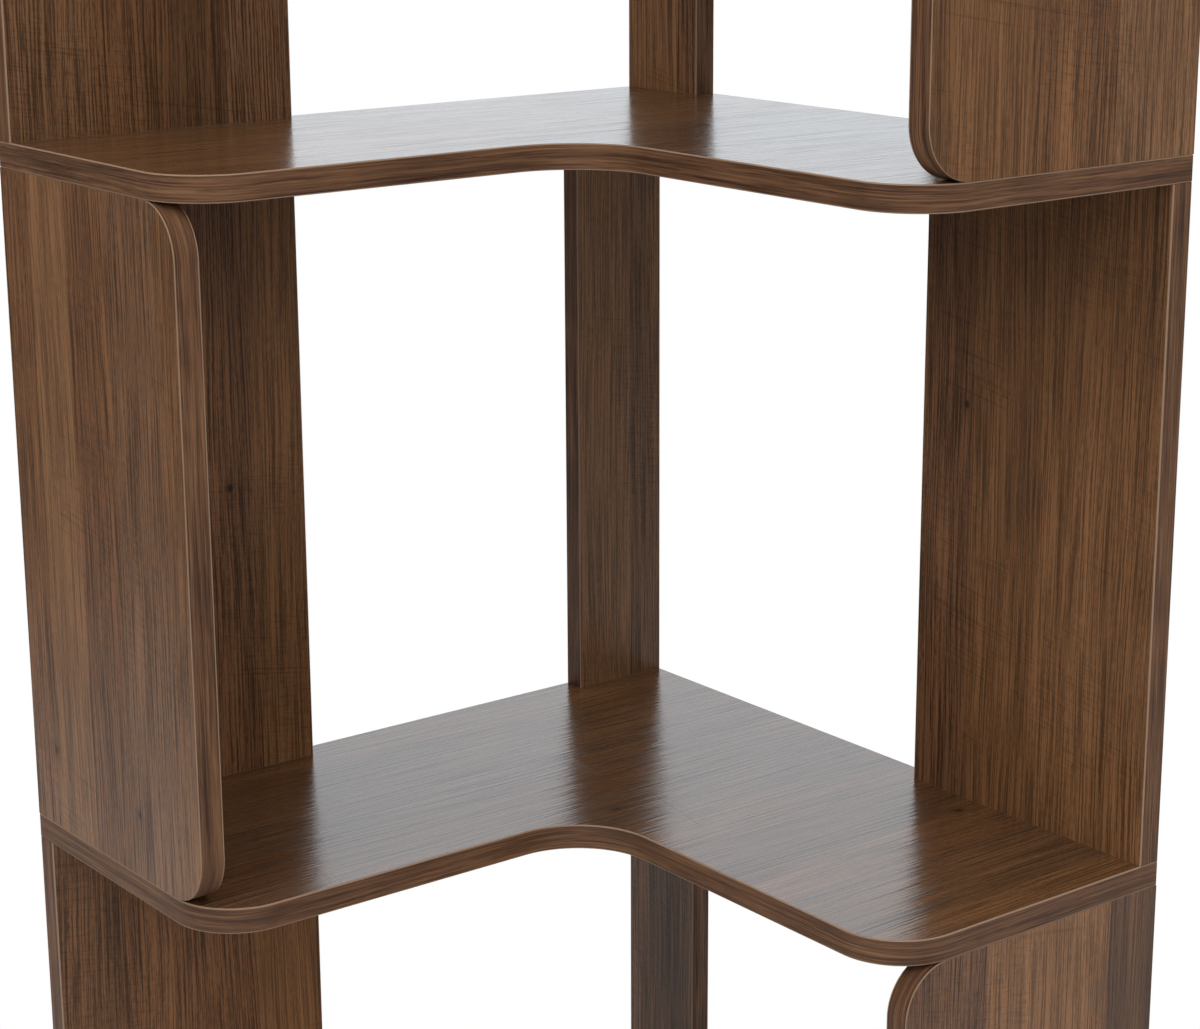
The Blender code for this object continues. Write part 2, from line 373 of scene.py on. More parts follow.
def finish_material(g, inputs):
    """Adds the main shader: what varies is linked, and what doesn't is set on its own socket."""
    shader = g.node("ShaderNodeBsdfPrincipled", {}, inputs)
    g.node("ShaderNodeOutputMaterial", {}, {"Surface": shader})


def board_directions(g):
    """Across the grain, along it and through the board, in metres, as the board keeps them."""
    return g.split(g.node("ShaderNodeAttribute", {"attribute_name": "grain"}, output="Vector"))


def piece_directions(g):
    """The three directions of the piece's own place, in metres."""
    return g.split(g.node("ShaderNodeTexCoord", output="Object"))


def walnut_laminate(name, strength, strips, combing, pore_depth, relief_depth,
                    roughness, pore_roughness, plain):
    """The board's faces: glued strips, figure, fine combed grain, saw marks and small knots."""
    material, g = new_material(name)
    across, along, _ = board_directions(g)
    strip = g.node("ShaderNodeTexVoronoi", {"voronoi_dimensions": "1D"},
                   {"W": across / STRIP_WIDTH, "Scale": 1.0, "Randomness": 1.0}, output="Color")
    chance = g.node("ShaderNodeSeparateColor", {}, {"Color": strip})
    tone_chance = chance.of("Red")
    red_chance = chance.of("Green")
    grey_chance = chance.of("Blue")
    offset = grey_chance * 9.0
    wander = (g.layer(across, along, WANDER_CELLS, (0.0, offset)) - 0.5) * WANDER
    ripple = (g.layer(across, along, RIPPLE_CELLS, (0.0, offset)) - 0.5) * RIPPLE
    jitter = (g.layer(across, along, JITTER_CELLS, detail=0.0) - 0.5) * JITTER
    line = across + wander + ripple + jitter

    figure = g.layer(line, along, FIGURE_CELLS, (offset, 0.0))
    cloud = g.layer(across, along, CLOUD_CELLS, (11.0, 0.0))
    growth = g.layer(line, along, GROWTH_CELLS, (3.0, offset), detail=3.0, roughness=0.62)
    comb = g.layer(line, along, COMB_CELLS, (5.0, offset), detail=3.0, roughness=0.76)
    fleck = g.layer(line, along, FLECK_CELLS, (8.0, 0.0), detail=1.0)
    ridge = g.layer(line, along, RIDGE_CELLS, (2.0, offset), detail=1.0)

    tone = (0.50 + (tone_chance - 0.5) * strips + (figure - 0.5) * 0.52
            + (growth - 0.5) * 0.25 + (cloud - 0.5) * 0.36)
    colour = g.ramp(tone, WALNUT_STOPS)
    reddish = g.ease(red_chance + (growth - 0.5) * 0.4, low=0.50, high=1.05, end=0.48)
    colour = g.mix(reddish, colour, REDDISH_WALNUT)
    greyish = g.ease(grey_chance, low=0.08, high=0.48, start=0.38, end=0.0)
    colour = g.mix(greyish, colour, GREYISH_WALNUT)

    saw_line = (along + across * SAW_SLANT) * SAW_LINES
    scratch = g.noise(across * SCRATCH_CELLS, saw_line, detail=1.0)
    scratch_patch = g.layer(across, along, SCRATCH_PATCH_CELLS, (4.0, 0.0), detail=0.0)
    scratch_mask = g.ease(scratch, low=0.62, high=0.68) * g.ease(scratch_patch, low=0.68, high=0.80)
    chatter = g.noise(across * CHATTER_CELLS, saw_line * CHATTER_PACE, detail=1.0)
    chatter_patch = g.layer(across, along, CHATTER_PATCH_CELLS, (9.0, 0.0), detail=1.0)
    chatter_mask = g.ease(chatter, low=0.56, high=0.66) * g.ease(chatter_patch, low=0.50, high=0.62)

    knot_place = g.vector(across * KNOT_CELLS[0], along * KNOT_CELLS[1], 0.0)
    spot = g.node("ShaderNodeTexVoronoi", {"voronoi_dimensions": "2D"},
                  {"Vector": knot_place, "Scale": 1.0}, output="Distance")
    rare = g.node("ShaderNodeSeparateColor", {}, {"Color": spot.of("Color")}).of("Red") > KNOT_ABOVE
    knot_mask = g.ease(spot, low=0.008, high=0.026, start=1.0, end=0.0) * rare
    halo_mask = g.ease(spot, low=0.012, high=0.085, start=0.20, end=0.0) * rare

    combed = g.ease(comb * 0.84 + fleck * 0.16, low=0.41, high=0.59)
    pore = g.ease(growth * 0.28 + comb * 0.72, low=0.515, high=0.60)
    lined = combing * (0.60 + red_chance * 0.50)
    shade = strength * (1.0 + (0.45 - combed) * lined) * (1.06 - pore * pore_depth)
    shade = shade * (1.0 - scratch_mask * 0.24) * (1.0 - chatter_mask * 0.18)
    shade = shade * (1.0 - knot_mask * 0.75) * (1.0 - halo_mask)
    relief = ridge * -2.0 - growth * 0.4 - comb * 0.7 - scratch_mask * 0.3
    finish_material(g, {
        "Base Color": g.shaded(colour, shade),
        "Roughness": roughness + pore * pore_roughness,
        "Normal": g.bump(relief, strength=1.0, distance=relief_depth),
        **plain,
    })
    return material


def walnut_edging(name):
    """The band on the edges: long streaks that run with the edge, and its light bare corners."""
    material, g = new_material(name)
    across, along, through = board_directions(g)
    sway = (g.solid((across, along, through), EDGE_SWAY_CELLS) - 0.5) * EDGE_SWAY
    place = (across, along, through + sway)
    broad = g.solid(place, EDGE_BROAD_CELLS)
    fine = g.solid(place, EDGE_FINE_CELLS, roughness=0.65)
    fleck = g.solid(place, EDGE_FLECK_CELLS, start=3.0, detail=1.0)
    cloud = g.solid(place, EDGE_CLOUD_CELLS, start=9.0)
    tone = 0.5 + (broad - 0.5) * 0.75 + (fine - 0.5) * 1.4 + (cloud - 0.5) * 0.35
    shade = 1.0 - g.ease(fleck, low=0.52, high=0.66) * 0.24
    from_face = g.maths("MINIMUM", through, BOARD_THICKNESS - through)
    bare = g.ease(from_face, low=EDGE_ROUNDING * BARE_CORNER_SHARE, high=EDGE_ROUNDING,
                  start=1.0, end=0.0)
    finish_material(g, {
        "Base Color": g.mix(bare, g.shaded(g.ramp(tone, EDGE_STOPS), shade), BARE_CORNER),
        "Roughness": 0.44 + cloud * 0.16,
        "Normal": g.bump(fine, strength=0.6, distance=EDGE_RELIEF),
        "IOR": 1.5,
        "Specular IOR Level": 0.24,
    })
    return material


def beech(name):
    """The dowels: pale streaks up the grain with darker flecks."""
    material, g = new_material(name)
    place = piece_directions(g)
    streak = g.solid(place, BEECH_STREAK_CELLS, detail=3.0)
    fleck = g.ease(g.solid(place, BEECH_FLECK_CELLS), low=0.58, high=0.72)
    finish_material(g, {
        "Base Color": g.mix(fleck * 0.5, g.ramp(streak, BEECH_STOPS), BEECH_FLECK),
        "Roughness": 0.55 + streak * 0.2,
        "Normal": g.bump(streak - fleck * 0.5, strength=0.5, distance=BEECH_RELIEF),
        "IOR": 1.45,
    })
    return material


def zinc_steel(name):
    """The screws and studs: zinc with a fine spangle and uneven wear."""
    material, g = new_material(name)
    place = piece_directions(g)
    spangle = g.solid(place, ZINC_SPANGLE_CELLS, detail=3.0)
    wear = g.solid(place, ZINC_WEAR_CELLS)
    finish_material(g, {
        "Base Color": g.mix(spangle, DULL_ZINC, BRIGHT_ZINC),
        "Roughness": 0.26 + wear * 0.22,
        "Normal": g.bump(spangle, strength=0.25, distance=ZINC_RELIEF),
        "Metallic": 1.0,
        "IOR": 1.5,
    })
    return material


def black_plastic(name):
    """The glides: stippled black plastic, scuffed in places."""
    material, g = new_material(name)
    place = piece_directions(g)
    stipple = g.solid(place, PLASTIC_STIPPLE_CELLS)
    scuff = g.ease(g.solid(place, PLASTIC_SCUFF_CELLS), low=0.55, high=0.80)
    finish_material(g, {
        "Base Color": g.mix(scuff * 0.6, BLACK_PLASTIC, SCUFFED_PLASTIC),
        "Roughness": 0.40 + stipple * 0.18,
        "Normal": g.bump(stipple, strength=0.4, distance=PLASTIC_RELIEF),
        "IOR": 1.46,
    })
    return material


# Geometry trees

def new_geometry_tree(name, sockets):
    """A geometry tree with a geometry socket each way and the named inputs."""
    tree = bpy.data.node_groups.new(name, "GeometryNodeTree")
    tree.interface.new_socket("Geometry", in_out="INPUT", socket_type="NodeSocketGeometry")
    tree.interface.new_socket("Geometry", in_out="OUTPUT", socket_type="NodeSocketGeometry")
    for label, kind in sockets.items():
        tree.interface.new_socket(label, in_out="INPUT", socket_type="NodeSocket" + kind)
    graph = Graph(tree)
    given = graph.node("NodeGroupInput", output="Geometry")
    return tree, graph, given


def end_tree(g, geometry, material, faces=None, face_material=None):
    """Every tree ends in real mesh with its material on it, and another on its faces if asked."""
    real = g.node("GeometryNodeRealizeInstances", {}, {"Geometry": geometry})
    clad = g.node("GeometryNodeSetMaterial", {}, {"Geometry": real, "Material": material})
    if faces:
        clad = g.node("GeometryNodeSetMaterial", {},
                      {"Geometry": clad, "Selection": faces, "Material": face_material})
    g.node("NodeGroupOutput", {}, {"Geometry": clad})


def smooth_below(g, geometry, angle):
    """Shades a geometry smooth, with a crease wherever it folds by more than the angle."""
    smooth = g.node("GeometryNodeSetShadeSmooth", {"domain": "FACE"},
                    {"Geometry": geometry, "Shade Smooth": True})
    fold = g.node("GeometryNodeInputMeshEdgeAngle", output="Unsigned Angle")
    return g.node("GeometryNodeSetShadeSmooth", {"domain": "EDGE"},
                  {"Geometry": smooth, "Selection": fold > angle, "Shade Smooth": False})


def board_tree():
    """A slab from a loop of corners, each rounded by its own radius, with screw holes through it."""
    sockets = {"Thickness": "Float", "Arc Points": "Int", "Hole Radius": "Float",
               "Hole Sides": "Int", "Seated Height": "Float", "Seated Rounding": "Float",
               "Material": "Material"}
    tree, g, given = new_geometry_tree("board from its corners", sockets)
    sorted_points = g.node("GeometryNodeSeparateGeometry", {"domain": "POINT"},
                           {"Geometry": given, "Selection": g.attribute("drilled", "BOOLEAN")},
                           output="Selection")
    corners = g.node("GeometryNodeMeshToCurve", {}, {"Mesh": sorted_points.of("Inverted")})
    outline = g.node("GeometryNodeFilletCurve", {"mode": "POLY"},
                     {"Curve": corners, "Count": given.of("Arc Points"),
                      "Radius": g.attribute("corner_radius")})
    ring = g.node("GeometryNodeCurvePrimitiveCircle", {},
                  {"Resolution": given.of("Hole Sides"), "Radius": given.of("Hole Radius")})
    holes = g.node("GeometryNodeInstanceOnPoints", {}, {"Points": sorted_points, "Instance": ring})
    holes = g.node("GeometryNodeRealizeInstances", {}, {"Geometry": holes})
    loops = g.node("GeometryNodeJoinGeometry", {}, {"Geometry": [outline, holes]})
    sheet = g.node("GeometryNodeFillCurve", {"mode": "NGONS"}, {"Curve": loops})
    raised = g.node("GeometryNodeExtrudeMesh", {"mode": "FACES"},
                    {"Mesh": sheet, "Offset Scale": given.of("Thickness"), "Individual": False})
    underside = g.node("GeometryNodeFlipFaces", {}, {"Mesh": sheet})
    slab = g.node("GeometryNodeJoinGeometry", {}, {"Geometry": [raised, underside]})
    slab = g.node("GeometryNodeMergeByDistance", {}, {"Geometry": slab, "Distance": SAME_POINT})

    # Foot and head edges that sit on a shelf are rounded less, as sawn ends are
    _, height, _ = g.split(g.node("GeometryNodeInputPosition"))
    from_foot = g.maths("ABSOLUTE", height)
    from_head = g.maths("ABSOLUTE", height - given.of("Seated Height"))
    seated = g.maths("MINIMUM", from_foot, from_head) < SAME_HEIGHT
    seated = seated * (given.of("Seated Height") > 0.0)
    fold = g.node("GeometryNodeInputMeshEdgeAngle", output="Unsigned Angle") > ROUNDED_ABOVE
    weight = fold * (1.0 - seated * (1.0 - given.of("Seated Rounding")))
    slab = g.node("GeometryNodeStoreNamedAttribute", {"data_type": "FLOAT", "domain": "EDGE"},
                  {"Geometry": slab, "Name": "bevel_weight_edge", "Value": weight})
    end_tree(g, slab, given.of("Material"))
    return tree


def laying_tree():
    """Keeps each point's place on the board as its grain, then lays the board where it belongs."""
    sockets = {"Grain Shift": "Vector", "Place": "Vector", "Turn": "Vector",
               "Smooth Below": "Float", "Face Material": "Material", "Edge Material": "Material"}
    tree, g, given = new_geometry_tree("board laid in place", sockets)
    grain = g.node("ShaderNodeVectorMath", {"operation": "ADD"},
                   {0: g.node("GeometryNodeInputPosition"), 1: given.of("Grain Shift")})
    kept = g.node("GeometryNodeStoreNamedAttribute", {"data_type": "FLOAT_VECTOR", "domain": "POINT"},
                  {"Geometry": given, "Name": "grain", "Value": grain})
    _, _, upright = g.split(g.node("GeometryNodeInputNormal"))
    is_face = g.maths("ABSOLUTE", upright) > FLAT_FACE
    kept = g.node("GeometryNodeStoreNamedAttribute", {"data_type": "BOOLEAN", "domain": "FACE"},
                  {"Geometry": kept, "Name": "is_face", "Value": is_face})
    turn = g.node("FunctionNodeEulerToRotation", {}, {"Euler": given.of("Turn")})
    laid = g.node("GeometryNodeTransform", {},
                  {"Geometry": kept, "Translation": given.of("Place"), "Rotation": turn})
    creased = smooth_below(g, laid, given.of("Smooth Below"))
    end_tree(g, creased, given.of("Edge Material"),
             g.attribute("is_face", "BOOLEAN"), given.of("Face Material"))
    return tree


def turned_tree():
    """A turned piece from its rail and radii, with flutes, a thread or a socket, at each seat."""
    sockets = {"Flutes": "Int", "Flute Depth": "Float", "Thread Depth": "Float",
               "Thread Pitch": "Float", "Thread From": "Float", "Thread To": "Float",
               "Socket Radius": "Float", "Socket Depth": "Float", "Head Height": "Float",
               "Smooth Below": "Float", "Material": "Material"}
    tree, g, given = new_geometry_tree("turned pieces at their seats", sockets)
    sorted_points = g.node("GeometryNodeSeparateGeometry", {"domain": "POINT"},
                           {"Geometry": given, "Selection": g.attribute("seat", "BOOLEAN")},
                           output="Selection")
    rail = g.node("GeometryNodeMeshToCurve", {}, {"Mesh": sorted_points.of("Inverted")})
    section = g.node("GeometryNodeCurveStar", {},
                     {"Points": given.of("Flutes"), "Outer Radius": 1.0,
                      "Inner Radius": 1.0 - given.of("Flute Depth")})
    body = g.node("GeometryNodeCurveToMesh", {},
                  {"Curve": rail, "Profile Curve": section, "Fill Caps": True,
                   "Scale": g.attribute("reach")})

    # The thread moves each point in or out by how far round and how high it is
    x, y, height = g.split(g.node("GeometryNodeInputPosition"))
    round_part = g.maths("ARCTAN2", y, x) / math.tau
    wave = g.maths("PINGPONG", height / given.of("Thread Pitch") - round_part, 0.5) * 2.0
    threaded = (height > given.of("Thread From")) * (height < given.of("Thread To"))
    pull = 1.0 - wave * threaded * given.of("Thread Depth")
    place = g.vector(x * pull, y * pull, height)
    body = g.node("GeometryNodeSetPosition", {}, {"Geometry": body, "Position": place})

    cutter = g.node("GeometryNodeMeshCylinder", {"fill_type": "NGON"},
                    {"Vertices": SCREW_SOCKET_SIDES, "Radius": given.of("Socket Radius"),
                     "Depth": given.of("Socket Depth") * 2.0})
    cutter = g.node("GeometryNodeTransform", {},
                    {"Geometry": cutter, "Translation": g.vector(0.0, 0.0, given.of("Head Height"))})
    socketed = g.node("GeometryNodeMeshBoolean", {"operation": "DIFFERENCE", "solver": "EXACT"},
                      {"Mesh 1": body, "Mesh 2": cutter}, output="Mesh")
    body = g.node("GeometryNodeSwitch", {"input_type": "GEOMETRY"},
                  {"Switch": given.of("Socket Radius") > 0.0, "False": body, "True": socketed})

    turn = g.node("FunctionNodeEulerToRotation", {}, {"Euler": g.attribute("turn", "FLOAT_VECTOR")})
    seated = g.node("GeometryNodeInstanceOnPoints", {},
                    {"Points": sorted_points, "Instance": body, "Rotation": turn})
    seated = g.node("GeometryNodeRealizeInstances", {}, {"Geometry": seated})
    end_tree(g, smooth_below(g, seated, given.of("Smooth Below")), given.of("Material"))
    return tree


def add_tree(piece, tree, values):
    """Puts a tree on a piece and sets its inputs by their identifiers."""
    modifier = piece.modifiers.new(tree.name, "NODES")
    modifier.node_group = tree
    for item in tree.interface.items_tree:
        if item.in_out == "INPUT" and item.name in values:
            modifier[item.identifier] = values[item.name]


def guide(name, points, edges, attributes):
    """A mesh of points and edges that a tree reads, with one value of each attribute a point."""
    mesh = bpy.data.meshes.new(name)
    mesh.from_pydata(points, edges, [])
    for label, (kind, field, values) in attributes.items():
        layer = mesh.attributes.new(label, kind, "POINT")
        layer.data.foreach_set(field, values)
    piece = bpy.data.objects.new(name, mesh)
    bpy.context.scene.collection.objects.link(piece)
    return piece


WORKING_ATTRIBUTES = ("reach", "seat", "turn", "is_face")


def settle(piece, nodes):
    """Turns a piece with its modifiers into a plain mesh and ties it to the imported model."""
    graph = bpy.context.evaluated_depsgraph_get()
    mesh = bpy.data.meshes.new_from_object(piece.evaluated_get(graph))
    mesh.name = piece.name
    worn = [material for material in mesh.materials if material]
    indices = [worn.index(mesh.materials[face.material_index]) for face in mesh.polygons]
    mesh.materials.clear()
    for material in worn:
        mesh.materials.append(material)
    mesh.polygons.foreach_set("material_index", indices)
    for label in WORKING_ATTRIBUTES:
        if label in mesh.attributes:
            mesh.attributes.remove(mesh.attributes[label])
    piece.modifiers.clear()
    piece.data = mesh
    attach(piece, "root")
    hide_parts(*nodes)


# Boards

ALONG_X = Vector((math.pi / 2, 0.0, 0.0))
ALONG_Y = Vector((math.pi / 2, 0.0, math.pi / 2))
FLAT = Vector((0.0, 0.0, 0.0))


def make_board(node, corners, holes, place, turn, shift, slot, seated_height=0.0):
    """One board: corners are (across, along, radius), holes are (across, along)."""
    points = [(x, y, 0.0) for x, y, _ in corners] + [(x, y, 0.0) for x, y in holes]
    count = len(corners)
    edges = [(i, (i + 1) % count) for i in range(count)]
    radii = [radius for _, _, radius in corners] + [0.0] * len(holes)
    drilled = [False] * count + [True] * len(holes)
    attributes = {"corner_radius": ("FLOAT", "value", radii), "drilled": ("BOOLEAN", "value", drilled)}
    piece = guide(node + "_board", points, edges, attributes)
    add_tree(piece, trees["board"], {
        "Thickness": BOARD_THICKNESS,
        "Arc Points": ARC_POINTS,
        "Hole Radius": SCREW_HOLE_RADIUS,
        "Hole Sides": SCREW_HOLE_SIDES,
        "Seated Height": seated_height,
        "Seated Rounding": SEATED_ROUNDING_SHARE,
        "Material": materials[slot],
    })
    rounding = piece.modifiers.new("rounded edges", "BEVEL")
    rounding.width = EDGE_ROUNDING
    rounding.segments = EDGE_ROUNDING_STEPS
    rounding.limit_method = "WEIGHT"
    add_tree(piece, trees["laying"], {
        "Grain Shift": shift,
        "Place": place,
        "Turn": turn,
        "Smooth Below": SMOOTH_BELOW,
        "Face Material": materials[slot],
        "Edge Material": materials["edging"],
    })
    settle(piece, [node])


def grain_shift(chance):
    """Where a board is cut from the sheet."""
    return Vector((chance.uniform(SHEET_LOW, SHEET_HIGH), chance.uniform(SHEET_LOW, SHEET_HIGH), 0.0))


def middle_of(node):
    """Where the axis of an upright round node stands."""
    low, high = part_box(node)
    return (low[0] + high[0]) / 2, (low[1] + high[1]) / 2


def make_shelf(number, chance):
    """An L-shaped shelf, square at the walls and rounded at the wing ends and the inner corner."""
    node = f"shelf_{number}"
    low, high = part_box(node)
    width = high[0] - low[0]
    length = high[1] - low[1]
    corners = [
        (0.0, 0.0, 0.0),
        (SHELF_DEPTH, 0.0, SHELF_CORNER_RADIUS),
        (SHELF_DEPTH, length - SHELF_DEPTH, INNER_CORNER_RADIUS),
        (width, length - SHELF_DEPTH, SHELF_CORNER_RADIUS),
        (width, length, 0.0),
        (0.0, length, 0.0),
    ]
    holes = []
    if number in (1, TIERS + 1):
        end = "bottom" if number == 1 else "top"
        for side in ("left", "right"):
            x, y = middle_of(f"{side}_{end}_screw")
            holes.append((x - low[0], y - low[1]))
    make_board(node, corners, holes, Vector(low), FLAT, grain_shift(chance), "shelf_walnut")


def make_panel(node, chance, rounded=False, sheet_start=0.0):
    """An upright panel on either wall or across a wing; its front corners may be rounded."""
    low, high = map(Vector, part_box(node))
    low.z -= SEAT_REACH
    high.z += SEAT_REACH
    height = high[2] - low[2]
    faces_x = high[0] - low[0] < high[1] - low[1]
    if faces_x:
        width = high[1] - low[1]
        place = low
        turn = ALONG_Y
    else:
        width = high[0] - low[0]
        place = Vector((low[0], high[1], low[2]))
        turn = ALONG_X
    front = END_PANEL_CORNER_RADIUS if rounded else 0.0
    low_radius = front if faces_x else 0.0
    high_radius = 0.0 if faces_x else front
    corners = [
        (0.0, 0.0, low_radius),
        (width, 0.0, high_radius),
        (width, height, high_radius),
        (0.0, height, low_radius),
    ]
    shift = grain_shift(chance) + Vector((sheet_start, 0.0, 0.0))
    make_board(node, corners, [], place, turn, shift, "panel_walnut", height)


# Fastenings

def make_turned(name, rail, seats, nodes, slot, values):
    """Turned pieces: rail is (height, radius) from foot to head, seats are (place, upside down)."""
    points = [(0.0, 0.0, height) for height, _ in rail] + [place for place, _ in seats]
    edges = [(i, i + 1) for i in range(len(rail) - 1)]
    reach = [radius for _, radius in rail] + [0.0] * len(seats)
    is_seat = [False] * len(rail) + [True] * len(seats)
    turns = [0.0] * 3 * len(rail)
    for _, upside_down in seats:
        turns += [math.pi if upside_down else 0.0, 0.0, 0.0]
    attributes = {
        "reach": ("FLOAT", "value", reach),
        "seat": ("BOOLEAN", "value", is_seat),
        "turn": ("FLOAT_VECTOR", "vector", turns),
    }
    piece = guide(name, points, edges, attributes)
    add_tree(piece, trees["turned"], {
        "Smooth Below": TURNED_SMOOTH_BELOW,
        "Material": materials[slot],
        **values,
    })
    settle(piece, nodes)


def seat_of(node, upside_down=False):
    """Where an upright piece stands, or hangs head down, and which of the two it does."""
    low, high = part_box(node)
    return (*middle_of(node), high[2] if upside_down else low[2]), upside_down


def reach_of(node):
    """The radius and the height of an upright round node."""
    low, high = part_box(node)
    return (high[0] - low[0]) / 2, high[2] - low[2]


def steps(start, end, step):
    """Even heights from start to end, about a step apart."""
    count = max(1, round((end - start) / step))
    return [start + (end - start) * i / count for i in range(count + 1)]


def make_dowels():
    """The dowels at the foot and head of the corner and end panels, fluted and chamfered."""
    nodes = []
    for tier in range(1, TIERS + 1):
        for end in ("foot", "head"):
            nodes.append(f"corner_{end}_dowel_{tier}")
            nodes += [f"end_{end}_dowel_{tier}_{side}" for side in ("back", "front")]
    radius, length = reach_of(nodes[0])
    rail = [(0.0, radius * DOWEL_END_SHARE)]
    rail += [(DOWEL_CHAMFER, radius), (length - DOWEL_CHAMFER, radius)]
    rail += [(length, radius * DOWEL_END_SHARE)]
    seats = [seat_of(node) for node in nodes]
    values = {"Flutes": DOWEL_FLUTES, "Flute Depth": DOWEL_FLUTE_DEPTH_SHARE}
    make_turned("fluted_dowels", rail, seats, nodes, "beech", values)


def make_studs():
    """The studs that tie each back panel to the one above it through a shelf."""
    nodes = [f"{side}_stud_{shelf}" for shelf in range(2, TIERS + 1) for side in ("left", "right")]
    radius, length = reach_of(nodes[0])
    rail = [(0.0, radius * STUD_END_SHARE)]
    rail += [(height, radius) for height in steps(STUD_CHAMFER, length - STUD_CHAMFER, THREAD_STEP)]
    rail += [(length, radius * STUD_END_SHARE)]
    seats = [seat_of(node) for node in nodes]
    values = {
        "Flutes": STUD_SIDES,
        "Thread Depth": THREAD_DEPTH_SHARE,
        "Thread Pitch": THREAD_PITCH,
        "Thread From": STUD_PLAIN_END,
        "Thread To": length - STUD_PLAIN_END,
    }
    make_turned("threaded_studs", rail, seats, nodes, "zinc_steel", values)


def make_screws():
    """Countersunk screws, head up through the top shelf and head down through the bottom one."""
    top = ["left_top_screw", "right_top_screw"]
    bottom = ["left_bottom_screw", "right_bottom_screw"]
    head_radius, length = reach_of(top[0])
    shank = SCREW_SHANK_RADIUS
    neck = length - SCREW_HEAD_HEIGHT
    shank_heights = steps(SCREW_TIP_LENGTH, neck - SCREW_SHANK_END, THREAD_STEP)
    rail = [(0.0, shank * SCREW_TIP_END_SHARE)]
    rail += [(SCREW_TIP_LENGTH / 2, shank * SCREW_TIP_MIDDLE_SHARE)]
    rail += [(height, shank) for height in shank_heights]
    rail += [(neck, shank), (length - SCREW_HEAD_RIM, head_radius)]
    rail += [(length, head_radius - SCREW_HEAD_CHAMFER)]
    seats = [seat_of(node) for node in top] + [seat_of(node, upside_down=True) for node in bottom]
    values = {
        "Flutes": SCREW_SIDES,
        "Thread Depth": SCREW_DEPTH_SHARE,
        "Thread Pitch": SCREW_PITCH,
        "Thread From": SCREW_TIP_LENGTH,
        "Thread To": neck - SCREW_PLAIN_END,
        "Socket Radius": SCREW_SOCKET_RADIUS,
        "Socket Depth": SCREW_SOCKET_DEPTH,
        "Head Height": length,
    }
    make_turned("countersunk_screws", rail, seats, top + bottom, "zinc_steel", values)


def make_glides():
    """The glides under the bottom shelf, each a stepped foot on a pin."""
    places = ("corner", "left_back", "left_front", "right_back", "right_front")
    nodes = [f"glide_{place}" for place in places]
    radius, length = reach_of(nodes[0])
    pin = GLIDE_PIN_RADIUS
    rail = [(height, radius - inset) for height, inset in GLIDE_FOOT]
    rail += [(GLIDE_FOOT_HEIGHT - GLIDE_TOP_STEP, radius - GLIDE_TOP_INSET)]
    rail += [(GLIDE_FOOT_HEIGHT, pin + GLIDE_PIN_FILLET)]
    rail += [(GLIDE_FOOT_HEIGHT + GLIDE_PIN_FILLET_HEIGHT, pin)]
    rail += [(length - GLIDE_PIN_TIP, pin), (length, pin * GLIDE_PIN_TIP_SHARE)]
    seats = [seat_of(node) for node in nodes]
    make_turned("nail_glides", rail, seats, nodes, "black_plastic", {"Flutes": GLIDE_SIDES})


# Floor, light and view

def make_floor():
    """A pale floor that keeps the shadow near the bookcase and is plain white further out."""
    turns = [math.tau * i / FLOOR_SIDES for i in range(FLOOR_SIDES)]
    rim = [(FLOOR_RADIUS * math.cos(turn), FLOOR_RADIUS * math.sin(turn), 0.0) for turn in turns]
    mesh = bpy.data.meshes.new("floor")
    mesh.from_pydata(rim, [], [tuple(range(FLOOR_SIDES))])
    floor = bpy.data.objects.new("floor", mesh)
    bpy.context.scene.collection.objects.link(floor)
    material, g = new_material("pale_floor")
    place = g.node("ShaderNodeTexCoord", output="Object")
    distance = g.node("ShaderNodeVectorMath", {"operation": "LENGTH"}, {0: place}, output="Value")
    far = g.ease(distance, FLOOR_SHADE_RADIUS, FLOOR_WHITE_RADIUS)
    seen = g.node("ShaderNodeLightPath", output="Is Camera Ray")
    shaded = g.node("ShaderNodeBsdfPrincipled", {},
                    {"Base Color": PALE_FLOOR, "Roughness": 0.9, "Specular IOR Level": 0.1})
    white = g.node("ShaderNodeEmission", {}, {"Color": PLAIN_WHITE, "Strength": 1.0})
    surface = g.node("ShaderNodeMixShader", {}, {0: far * seen, 1: shaded, 2: white})
    g.node("ShaderNodeOutputMaterial", {}, {"Surface": surface})
    mesh.materials.append(material)


